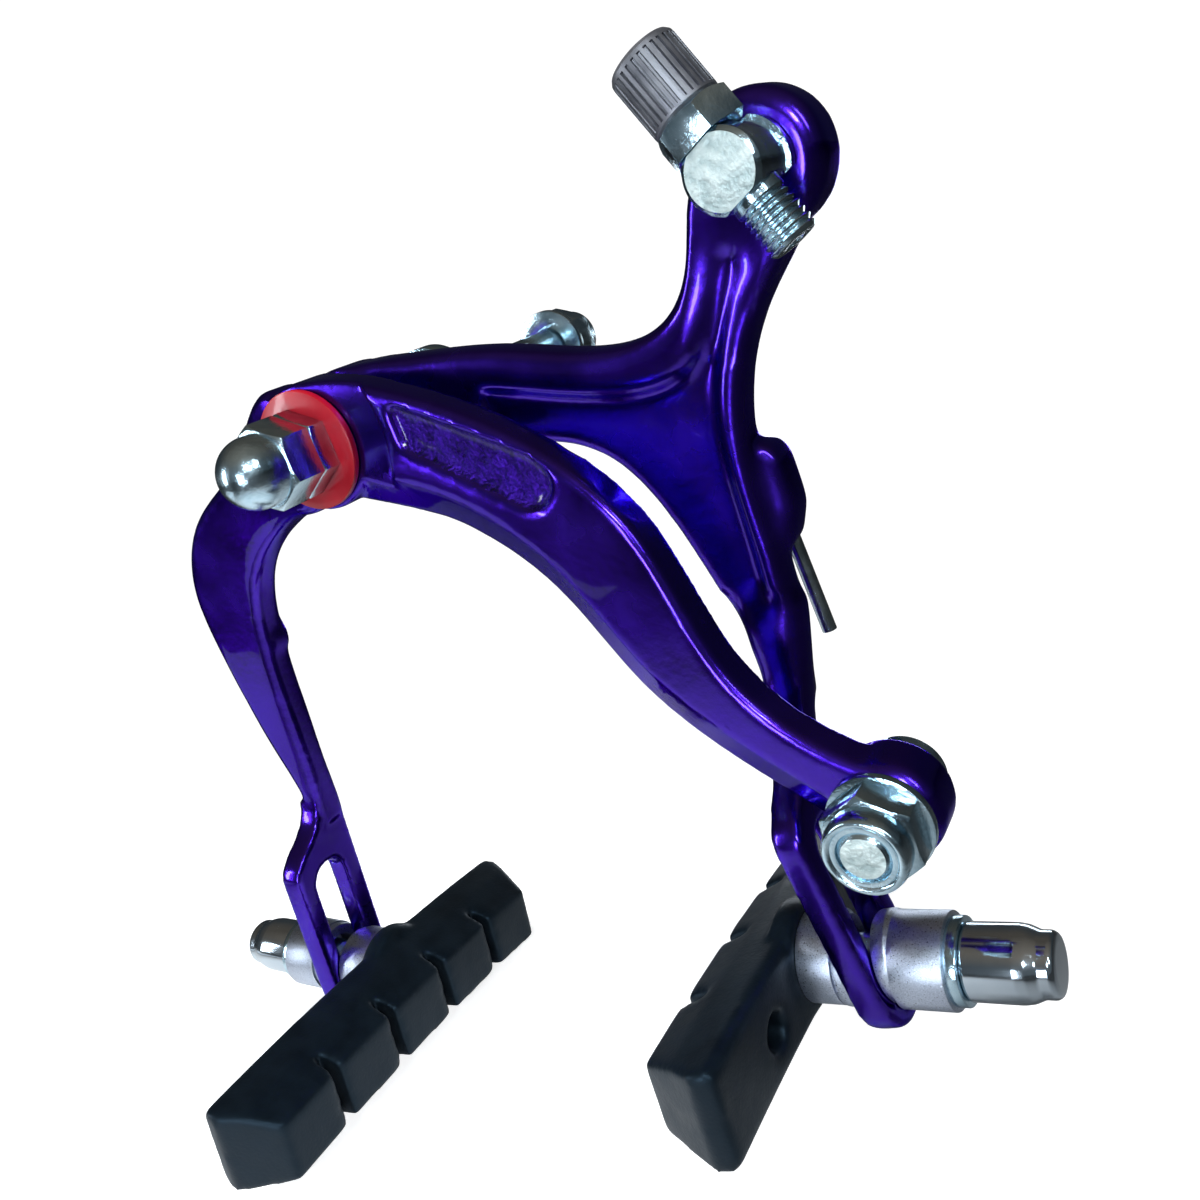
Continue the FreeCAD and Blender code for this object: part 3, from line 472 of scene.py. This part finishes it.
# %% [markdown]
# The anchor nut is a locking nut: past the hexagon stands a round collar whose lip was rolled
# inwards over a ring. The end of the bolt lies just below that lip. The hexagon stays a copy
# of its solid, and only the collar is turned anew and set around it.

# %% Anchor nut collar
COLLAR_RINGS = ((4.55, 2.6), (4.65, 3.2), (4.72, 5.2), (4.5, 6.0), (4.05, 6.25),
                (3.6, 6.0), (3.4, 5.5), (3.3, 5.0), (2.9, 4.9))
COLLAR_AT = (64.0, -37.05, -56.1)
anchor_collar = lathe("anchor_collar", COLLAR_RINGS, fill="NOTHING")
swing(anchor_collar, "X", 90, COLLAR_AT)
round_rings(anchor_collar, 0.3 * MM)
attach(anchor_collar, "anchor")
hardware["anchor_collar"] = anchor_collar
print(anchor_collar.name, "faces:", len(anchor_collar.data.polygons))

# %% [markdown]
# The barrel of the cable adjuster is turned with its screw from one bar. Below the lock nut the
# copied solid keeps the thread, so the copy is cut off there, square to the leaning axis.

# %% Barrel thread
ADJUSTER_AT = (EYE_X, -25.7, EYE_Z)
ADJUSTER_LEAN = -24.0
THREAD_END = 6.8
lean = math.radians(ADJUSTER_LEAN)
adjuster_axis = Vector((math.sin(lean), 0, math.cos(lean)))
thread = hardware["adjuster_barrel"]
open_mesh(thread)
bpy.ops.mesh.bisect(plane_co=(Vector(ADJUSTER_AT) + adjuster_axis * THREAD_END) * MM,
                    plane_no=adjuster_axis, use_fill=True, clear_outer=True)
close_mesh()
print(thread.name, "faces:", len(thread.data.polygons))

# %% [markdown]
# Above the cut a new sleeve takes over. Its band of side faces is pressed in at every other
# pair by an inset, which leaves thirty fine flutes for the fingers. Cutting thirty grooves
# with booleans would do the same, but more slowly and with ragged ends.

# %% Fluted barrel
SLEEVE_RINGS = ((2.7, 6.9), (3.7, 6.9), (3.92, 7.15), (3.95, 7.4), (3.95, 13.6), (3.9, 14.0),
                (3.65, 14.35), (3.25, 14.5), (2.75, 14.5), (2.6, 14.3), (2.6, 9.8), (0.4, 9.7))
BAND_LOW, BAND_HIGH, BAND_R = 7.6, 13.4, 3.6
FLUTE_STEP, FLUTE_ANGLE = 12.0, math.radians(28)
sleeve = lathe("fluted_barrel", SLEEVE_RINGS, sides=120, fill="NOTHING")
unmark(sleeve, "FACE")
flute_faces = 0
for face in sleeve.data.polygons:
    x, y, z = in_mm(face.center)
    turn = math.degrees(math.atan2(y, x)) % FLUTE_STEP
    on_band = BAND_LOW < z < BAND_HIGH and math.hypot(x, y) > BAND_R
    face.select = on_band and turn < FLUTE_STEP / 2
    flute_faces += face.select
bpy.ops.object.mode_set(mode="EDIT")
bpy.ops.mesh.inset(thickness=0.08 * MM, depth=-0.3 * MM)
bpy.ops.mesh.select_mode(type="VERT")
close_mesh()
swing(sleeve, "Y", ADJUSTER_LEAN, ADJUSTER_AT)
bpy.ops.object.shade_smooth_by_angle(angle=FLUTE_ANGLE)
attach(sleeve, "barrel")
hardware["fluted_barrel"] = sleeve
print("flute faces:", flute_faces)

# %% [markdown]
# Metal and rubber surfaces are never quite even. This group of nodes mixes a coarse and
# a fine noise into a height for bump and a mask for small changes of colour and gloss.
# Every finish uses it, each with its own scales, so it is built once as a group.

# %% Shared surface noise
def set_inputs(node, values):
    for label, value in values.items():
        node.inputs[label].default_value = value


def math_node(tree, operation, first, second):
    node = tree.nodes.new("ShaderNodeMath")
    node.operation = operation
    tree.links.new(first, node.inputs[0])
    tree.links.new(second, node.inputs[1])
    return node.outputs[0]


grain = bpy.data.node_groups.new("surface_grain", "ShaderNodeTree")
for label in ("Coarse", "Fine", "Share"):
    grain.interface.new_socket(label, in_out="INPUT", socket_type="NodeSocketFloat")
for label in ("Height", "Patches"):
    grain.interface.new_socket(label, in_out="OUTPUT", socket_type="NodeSocketFloat")
grain_in = grain.nodes.new("NodeGroupInput")
grain_out = grain.nodes.new("NodeGroupOutput")
place = grain.nodes.new("ShaderNodeTexCoord")
coarse = grain.nodes.new("ShaderNodeTexNoise")
fine = grain.nodes.new("ShaderNodeTexNoise")
for noise, label in ((coarse, "Coarse"), (fine, "Fine")):
    grain.links.new(place.outputs["Object"], noise.inputs["Vector"])
    grain.links.new(grain_in.outputs[label], noise.inputs["Scale"])
    noise.inputs["Detail"].default_value = 3.0
part = math_node(grain, "MULTIPLY", fine.outputs["Fac"], grain_in.outputs["Share"])
whole = math_node(grain, "ADD", coarse.outputs["Fac"], part)
grain.links.new(whole, grain_out.inputs["Height"])
grain.links.new(coarse.outputs["Fac"], grain_out.inputs["Patches"])
print("group:", grain.name)

# %% [markdown]
# Every finish starts from the same pattern: a Principled shader, the grain group for bump,
# and ramps that let colour and roughness drift a little over the surface. The two scales
# are those of the coarse and the fine noise, share is how much the fine one counts,
# and relief is the strength and depth of the bump.

# %% Finish maker
COLOUR_FROM, COLOUR_TO = 0.32, 0.68
GLOSS_FROM, GLOSS_TO = 0.3, 0.7


def new_ramp(tree, positions, colours):
    ramp = tree.nodes.new("ShaderNodeValToRGB")
    for element, position, colour in zip(ramp.color_ramp.elements, positions, colours):
        element.position = position
        element.color = (*colour, 1)
    return ramp


def finish(name, colours, rough, metal, scales, share, relief):
    material = bpy.data.materials.new(name)
    material.use_nodes = True
    tree = material.node_tree
    shader = tree.nodes["Principled BSDF"]
    shader.inputs["Metallic"].default_value = metal
    skin = tree.nodes.new("ShaderNodeGroup")
    skin.node_tree = grain
    set_inputs(skin, {"Coarse": scales[0], "Fine": scales[1], "Share": share})
    ramp = new_ramp(tree, (COLOUR_FROM, COLOUR_TO), colours)
    tree.links.new(skin.outputs["Patches"], ramp.inputs["Fac"])
    tree.links.new(ramp.outputs["Color"], shader.inputs["Base Color"])
    spread = tree.nodes.new("ShaderNodeMapRange")
    set_inputs(spread, {"From Min": GLOSS_FROM, "From Max": GLOSS_TO,
                        "To Min": rough[0], "To Max": rough[1]})
    tree.links.new(skin.outputs["Patches"], spread.inputs["Value"])
    tree.links.new(spread.outputs["Result"], shader.inputs["Roughness"])
    bump = tree.nodes.new("ShaderNodeBump")
    set_inputs(bump, {"Strength": relief[0], "Distance": relief[1]})
    tree.links.new(skin.outputs["Height"], bump.inputs["Height"])
    tree.links.new(bump.outputs["Normal"], shader.inputs["Normal"])
    return material, shader


def clear_coat(shader, weight, roughness):
    set_inputs(shader, {"Coat Weight": weight, "Coat Roughness": roughness, "Coat IOR": 1.5})


print("finish maker ready")

# %% [markdown]
# The arms wear a candy finish: bright cast alloy under a deep transparent purple. The metal
# gives the colour its depth and a clear coat gives the sharp white glints. In the recess of
# the front arm the casting was left rough, so the paint lies over a coarser skin, and its
# colour is darker there: painted shade in the recess.
# A plain purple paint would be simpler, but it looks flat where the real arms look deep.

# %% Candy purple
purple, shader = finish(
    "candy_purple", colours=((0.046, 0.009, 0.36), (0.058, 0.014, 0.48)), rough=(0.20, 0.30),
    metal=1.0, scales=(120.0, 900.0), share=0.2, relief=(0.35, 0.4 * MM))
clear_coat(shader, weight=0.4, roughness=0.03)
shader.inputs["Specular Tint"].default_value = (0.40, 0.28, 0.95, 1)
# The darker colours of this finish are painted shade in the recess; its coarser bump is the
# rough casting.
rough_shaded_purple, shader = finish(
    "rough_shaded_purple", colours=((0.016, 0.003, 0.12), (0.050, 0.010, 0.36)), rough=(0.24, 0.40),
    metal=1.0, scales=(420.0, 1500.0), share=0.6, relief=(1.0, 0.9 * MM))
clear_coat(shader, weight=0.5, roughness=0.08)
print("arm finishes:", purple.name, rough_shaded_purple.name)

# %% [markdown]
# Nuts, washers and bolts are zinc plated and look a little blue. Where a bolt end or
# the swivel was peened, the skin is dull and dented. The shoe nuts are chromed, the cups
# and domes are die cast with a frosted skin, and the barrel is grey anodised.
# One grey metal for all would be simpler, but the eye tells them apart by gloss and tint.

# %% Bare and plated metal
zinc, _ = finish(
    "bright_zinc", colours=((0.44, 0.64, 0.76), (0.68, 0.86, 0.95)), rough=(0.12, 0.28),
    metal=1.0, scales=(260.0, 2400.0), share=0.3, relief=(0.35, 0.3 * MM))
peened, _ = finish(
    "peened_steel", colours=((0.46, 0.58, 0.58), (0.80, 0.90, 0.88)), rough=(0.40, 0.60),
    metal=0.5, scales=(800.0, 2200.0), share=0.4, relief=(0.9, 0.4 * MM))
chrome, _ = finish(
    "smooth_chrome", colours=((0.58, 0.67, 0.75), (0.69, 0.78, 0.85)), rough=(0.10, 0.16),
    metal=1.0, scales=(150.0, 2000.0), share=0.3, relief=(0.06, 0.1 * MM))
satin, _ = finish(
    "frosted_alloy", colours=((0.46, 0.52, 0.64), (0.68, 0.74, 0.86)), rough=(0.26, 0.40),
    metal=1.0, scales=(5200.0, 9000.0), share=0.8, relief=(0.36, 0.1 * MM))
barrel_grey, _ = finish(
    "grey_barrel", colours=((0.20, 0.205, 0.235), (0.29, 0.295, 0.325)), rough=(0.38, 0.50),
    metal=0.8, scales=(500.0, 3000.0), share=0.5, relief=(0.2, 0.1 * MM))
wire_steel, _ = finish(
    "spring_wire", colours=((0.55, 0.66, 0.72), (0.74, 0.84, 0.90)), rough=(0.18, 0.30),
    metal=1.0, scales=(400.0, 3000.0), share=0.5, relief=(0.2, 0.1 * MM))
print("metals:", [m.name for m in (zinc, peened, chrome, satin, barrel_grey, wire_steel)])

# %% [markdown]
# The thin washer behind the lock nut is lacquered red, and the pads are moulded rubber with
# a dull sheen and a fine grain from the mould. Rubber is nearly black, so what one sees of it
# is mostly its reflection, and the tints of sheen and gloss decide how it looks.

# %% Lacquer and rubber
red, shader = finish(
    "red_lacquer", colours=((0.34, 0.003, 0.012), (0.43, 0.006, 0.018)), rough=(0.28, 0.38),
    metal=0.0, scales=(300.0, 2500.0), share=0.3, relief=(0.12, 0.1 * MM))
clear_coat(shader, weight=0.25, roughness=0.08)
rubber, shader = finish(
    "black_rubber", colours=((0.0014, 0.0030, 0.0050), (0.0030, 0.0058, 0.0090)),
    rough=(0.38, 0.50), metal=0.0, scales=(260.0, 2200.0), share=0.5, relief=(0.3, 0.2 * MM))
set_inputs(shader, {
    "Specular IOR Level": 0.36, "Specular Tint": (0.45, 0.72, 1.0, 1),
    "Sheen Weight": 0.03, "Sheen Roughness": 0.5, "Sheen Tint": (0.7, 0.82, 1.0, 1)})
print("coloured finishes:", red.name, rubber.name)

# %% [markdown]
# Each piece now wears its finish. Most wear one all over, so the name of the piece decides.

# %% Dressing the pieces
finish_of = {"printed_washer": red, "fluted_barrel": barrel_grey,
             "left_spring_wire": wire_steel, "right_spring_wire": wire_steel}


def wear(piece, material):
    piece.data.materials.clear()
    piece.data.materials.append(material)


softened = ((front_arm, purple), (rear_arm, purple), (left_pad, rubber), (right_pad, rubber))
for piece, material in softened:
    wear(piece, material)
for name, piece in hardware.items():
    if name.endswith("_shoe_nut"):
        wear(piece, chrome)
    elif name.endswith(("_cup", "_dome")):
        wear(piece, satin)
    else:
        wear(piece, finish_of.get(name, zinc))
print("dressed:", len(softened) + len(hardware))

# %% [markdown]
# Three pieces wear a second finish on some faces. The recess of the front arm is found by its
# place: faces inside its outline and below the leaning face of the bridge. The peened ends
# are the faces that look straight forward at the front of the swivel and of the anchor bolt.

# %% Second finishes
RECESS_LEFT_X, RECESS_RIGHT_X = 16.2, 37.2
RECESS_TOP_Z, RECESS_FLOOR = 1.2, (0.45, 2.0)
RECESS_LOW_X, RECESS_LOW_Z, RECESS_LOW_SLOPE = 19.0, -5.6, 0.689
RECESS_BEND_X, RECESS_FLAT_Z = 31.2, -14.6
BRIDGE_Y, BRIDGE_LEAN = 29.6, 0.098
PEENED_ENDS = {"adjuster_swivel": -29.0, "anchor_bolt": -42.5}
FORWARD = -0.95


def in_recess(point):
    x, y, z = in_mm(point)
    depth = y + BRIDGE_Y + BRIDGE_LEAN * x
    upper = RECESS_TOP_Z - PANEL_SLOPE * (x - PANEL_EDGE_X)
    lower = RECESS_LOW_Z - RECESS_LOW_SLOPE * (x - RECESS_LOW_X)
    if x >= RECESS_BEND_X:
        lower = RECESS_FLAT_Z
    inside = RECESS_LEFT_X < x < RECESS_RIGHT_X and lower < z < upper
    return inside and RECESS_FLOOR[0] < depth < RECESS_FLOOR[1]


# The recess faces get the finish with the darker painted shade.
front_arm.data.materials.append(rough_shaded_purple)
for face in front_arm.data.polygons:
    face.material_index = int(in_recess(face.center))
for name, front_y in PEENED_ENDS.items():
    hardware[name].data.materials.append(peened)
    for face in hardware[name].data.polygons:
        looks_forward = face.normal.y < FORWARD and face.center.y < front_y * MM
        face.material_index = int(looks_forward)
print("rough faces:", sum(face.material_index for face in front_arm.data.polygons))

# %% [markdown]
# The stage is a wide white floor just under the pads. Close to the brake its base colour is
# a painted pool of light, pale so that it throws light up on the undersides, as a white table
# does in a photograph. Further out its base colour is painted dark, a painted shade for the
# paint that mirrors it, and it is white all over for the camera.

# %% Floor
FLOOR_SIZE, FLOOR_GAP = 12.0, 0.5 * MM
low_z = cad_box[0][2]
bpy.ops.object.select_all(action="DESELECT")
bpy.ops.mesh.primitive_plane_add(size=FLOOR_SIZE, location=(0, 0, low_z - FLOOR_GAP))
floor = bpy.context.object
floor.name = "floor"
print("floor at", round(low_z - FLOOR_GAP, 4))

# %% [markdown]
# The paper of the floor changes with the distance from a spot under the brake. Its base colour
# is a painted pool of light, pale near the spot and painted dark further out, and it decides
# what light the floor throws. A glow that only camera rays meet decides how white it looks.
# A lamp under the floor could whiten it too, but it would spill onto the brake.

# %% Floor paper
PAINTED_POOL_SPOT = (-0.05, -0.05, 0.0)
PAINTED_POOL_FROM, PAINTED_POOL_TO = 0.05, 0.16
PAINTED_POOL_NEAR, PAINTED_POOL_FAR = (0.72, 0.72, 0.72), (0.03, 0.03, 0.03)
GLOW_NEAR, GLOW_FAR = 0.80, 1.05
paper = bpy.data.materials.new("floor_paper")
paper.use_nodes = True
tree = paper.node_tree
paper_shader = tree.nodes["Principled BSDF"]
set_inputs(paper_shader, {
    "Roughness": 1.0, "Specular IOR Level": 0.0, "Emission Color": (1, 1, 1, 1)})
spot = tree.nodes.new("ShaderNodeTexCoord")
reach = tree.nodes.new("ShaderNodeVectorMath")
reach.operation = "DISTANCE"
tree.links.new(spot.outputs["Object"], reach.inputs[0])
reach.inputs[1].default_value = PAINTED_POOL_SPOT
# Painted pool of light: the base colour is pale close to the spot and painted dark further out.
painted_pool_fade = new_ramp(tree, (PAINTED_POOL_FROM, PAINTED_POOL_TO), (PAINTED_POOL_NEAR, PAINTED_POOL_FAR))
tree.links.new(reach.outputs["Value"], painted_pool_fade.inputs["Fac"])
tree.links.new(painted_pool_fade.outputs["Color"], paper_shader.inputs["Base Color"])
whiten = tree.nodes.new("ShaderNodeMapRange")
set_inputs(whiten, {"From Min": PAINTED_POOL_FROM, "From Max": PAINTED_POOL_TO,
                    "To Min": GLOW_NEAR, "To Max": GLOW_FAR})
tree.links.new(reach.outputs["Value"], whiten.inputs["Value"])
glow = tree.nodes.new("ShaderNodeLightPath")
shown = math_node(tree, "MULTIPLY", whiten.outputs["Result"], glow.outputs["Is Camera Ray"])
tree.links.new(shown, paper_shader.inputs["Emission Strength"])
wear(floor, paper)
print("paper:", paper.name)

# %% [markdown]
# The camera stands where the photograph was taken: to the right of the brake, close to it
# and turned a little, so the far pad looks smaller than the near one.

# %% Camera
eye = Vector((0.11107, -0.13528, 0.00538))
right = Vector((0.80986, 0.47494, -0.34433))
up = Vector((0.15325, 0.39529, 0.90568))
behind = Vector((0.56625, -0.78624, 0.24735))
lens = bpy.data.cameras.new("camera")
lens.sensor_width = 36.0
lens.lens = 33.61
lens.clip_start = 0.005
camera = bpy.data.objects.new("camera", lens)
bpy.context.scene.collection.objects.link(camera)
camera.matrix_world = Matrix((
    (right.x, up.x, behind.x, eye.x),
    (right.y, up.y, behind.y, eye.y),
    (right.z, up.z, behind.z, eye.z),
    (0, 0, 0, 1)))
bpy.context.scene.camera = camera
print("camera at", tuple(eye))

# %% [markdown]
# Soft boxes above and at the sides draw the long glints on the ribs of the arms. A card low on
# the left lights the limb, a strip in front lights the bevel under the bridge, and a low box
# behind keeps the back from going black. Everything else stays dim, because candy paint looks
# deep only where it has something dark to reflect. Each row of the table gives the name,
# where the box stands, where it aims, its size, its power and its colour.

# %% Light
SOFT_BOXES = (
    ("top_box", (0.02, -0.14, 0.62), (0.0, -0.05, -0.05),
     (0.16, 0.16), 5.5, (0.95, 0.98, 1.0)),
    ("left_strip", (-0.50, -0.45, 0.14), (0.0, -0.02, -0.03),
     (0.05, 0.30), 1.0, (0.88, 0.94, 1.0)),
    ("right_strip", (0.55, -0.30, 0.30), (0.03, -0.02, -0.03),
     (0.04, 0.25), 0.7, (0.90, 0.96, 1.0)),
    ("lens_panel", (0.30, -0.46, 0.24), (0.03, -0.02, -0.02),
     (0.09, 0.09), 1.1, (0.84, 0.94, 1.0)),
    ("left_card", (-0.27, -0.15, low_z + 0.004), (-0.27, -0.15, 1.0),
     (0.22, 0.16), 0.10, (0.90, 0.95, 1.0)),
    ("front_strip", (0.03, -0.52, -0.01), (0.05, -0.02, -0.01),
     (0.09, 0.18), 0.9, (0.84, 0.92, 1.0)),
    ("back_fill", (-0.12, 0.55, -0.045), (0.0, 0.0, -0.03),
     (0.50, 0.08), 0.6, (0.90, 0.95, 1.0)),
)


def soft_box(name, stands_at, aims_at, size, power, colour):
    light = bpy.data.lights.new(name, "AREA")
    light.shape = "RECTANGLE"
    light.size, light.size_y = size
    light.energy = power
    light.color = colour
    box = bpy.data.objects.new(name, light)
    bpy.context.scene.collection.objects.link(box)
    box.location = stands_at
    toward = Vector(aims_at) - Vector(stands_at)
    box.rotation_euler = toward.to_track_quat("-Z", "Y").to_euler()
    return box


boxes = {row[0]: soft_box(*row) for row in SOFT_BOXES}
boxes["top_box"].visible_glossy = False
boxes["left_card"].visible_camera = False
boxes["back_fill"].visible_camera = False
bpy.context.scene.view_settings.view_transform = "Standard"
print("lights:", len(boxes))

# %% [markdown]
# The room is a world shader. Its brightness follows the direction that a ray takes: dark
# behind the brake and a little brighter on the camera's side. Seen directly it is white.

# %% Room brightness
CAMERA_SIDE = (0.45, -0.80, 0.40)
DARK_SIDE, LIT_SIDE, SEEN_WHITE = 0.04, 0.12, 1.1
world = bpy.data.worlds.new("room")
world.use_nodes = True
bpy.context.scene.world = world
tree = world.node_tree
room = tree.nodes["Background"]
toward = tree.nodes.new("ShaderNodeTexCoord")
against = tree.nodes.new("ShaderNodeVectorMath")
against.operation = "DOT_PRODUCT"
against.inputs[1].default_value = CAMERA_SIDE
tree.links.new(toward.outputs["Generated"], against.inputs[0])
level = tree.nodes.new("ShaderNodeMapRange")
set_inputs(level, {"From Min": 0.0, "From Max": 1.0, "To Min": DARK_SIDE, "To Max": LIT_SIDE})
tree.links.new(against.outputs["Value"], level.inputs["Value"])
seen = tree.nodes.new("ShaderNodeLightPath")
strength = tree.nodes.new("ShaderNodeMix")
strength.data_type = "FLOAT"
tree.links.new(seen.outputs["Is Camera Ray"], strength.inputs["Factor"])
tree.links.new(level.outputs["Result"], strength.inputs["A"])
strength.inputs["B"].default_value = SEEN_WHITE
tree.links.new(strength.outputs["Result"], room.inputs["Strength"])
print("room:", world.name)

# %% [markdown]
# The walls are a cool white and the ceiling is dim and warm, which gives the chrome
# its brown upper side. A ramp over the height of the ray's direction mixes the two.

# %% Room colour
COOL_WALL, WARM_CEILING = (0.80, 0.92, 1.0), (1.9, 1.6, 1.3)
WALL_TOP, CEILING_FROM = 0.35, 0.80
split = tree.nodes.new("ShaderNodeSeparateXYZ")
tree.links.new(toward.outputs["Generated"], split.inputs[0])
ceiling = new_ramp(tree, (WALL_TOP, CEILING_FROM), (COOL_WALL, WARM_CEILING))
tree.links.new(split.outputs["Z"], ceiling.inputs["Fac"])
tint = tree.nodes.new("ShaderNodeMix")
tint.data_type = "RGBA"
tree.links.new(seen.outputs["Is Camera Ray"], tint.inputs["Factor"])
tree.links.new(ceiling.outputs["Color"], tint.inputs["A"])
tint.inputs["B"].default_value = (1, 1, 1, 1)
tree.links.new(tint.outputs["Result"], room.inputs["Color"])
print("ceiling tint:", WARM_CEILING)
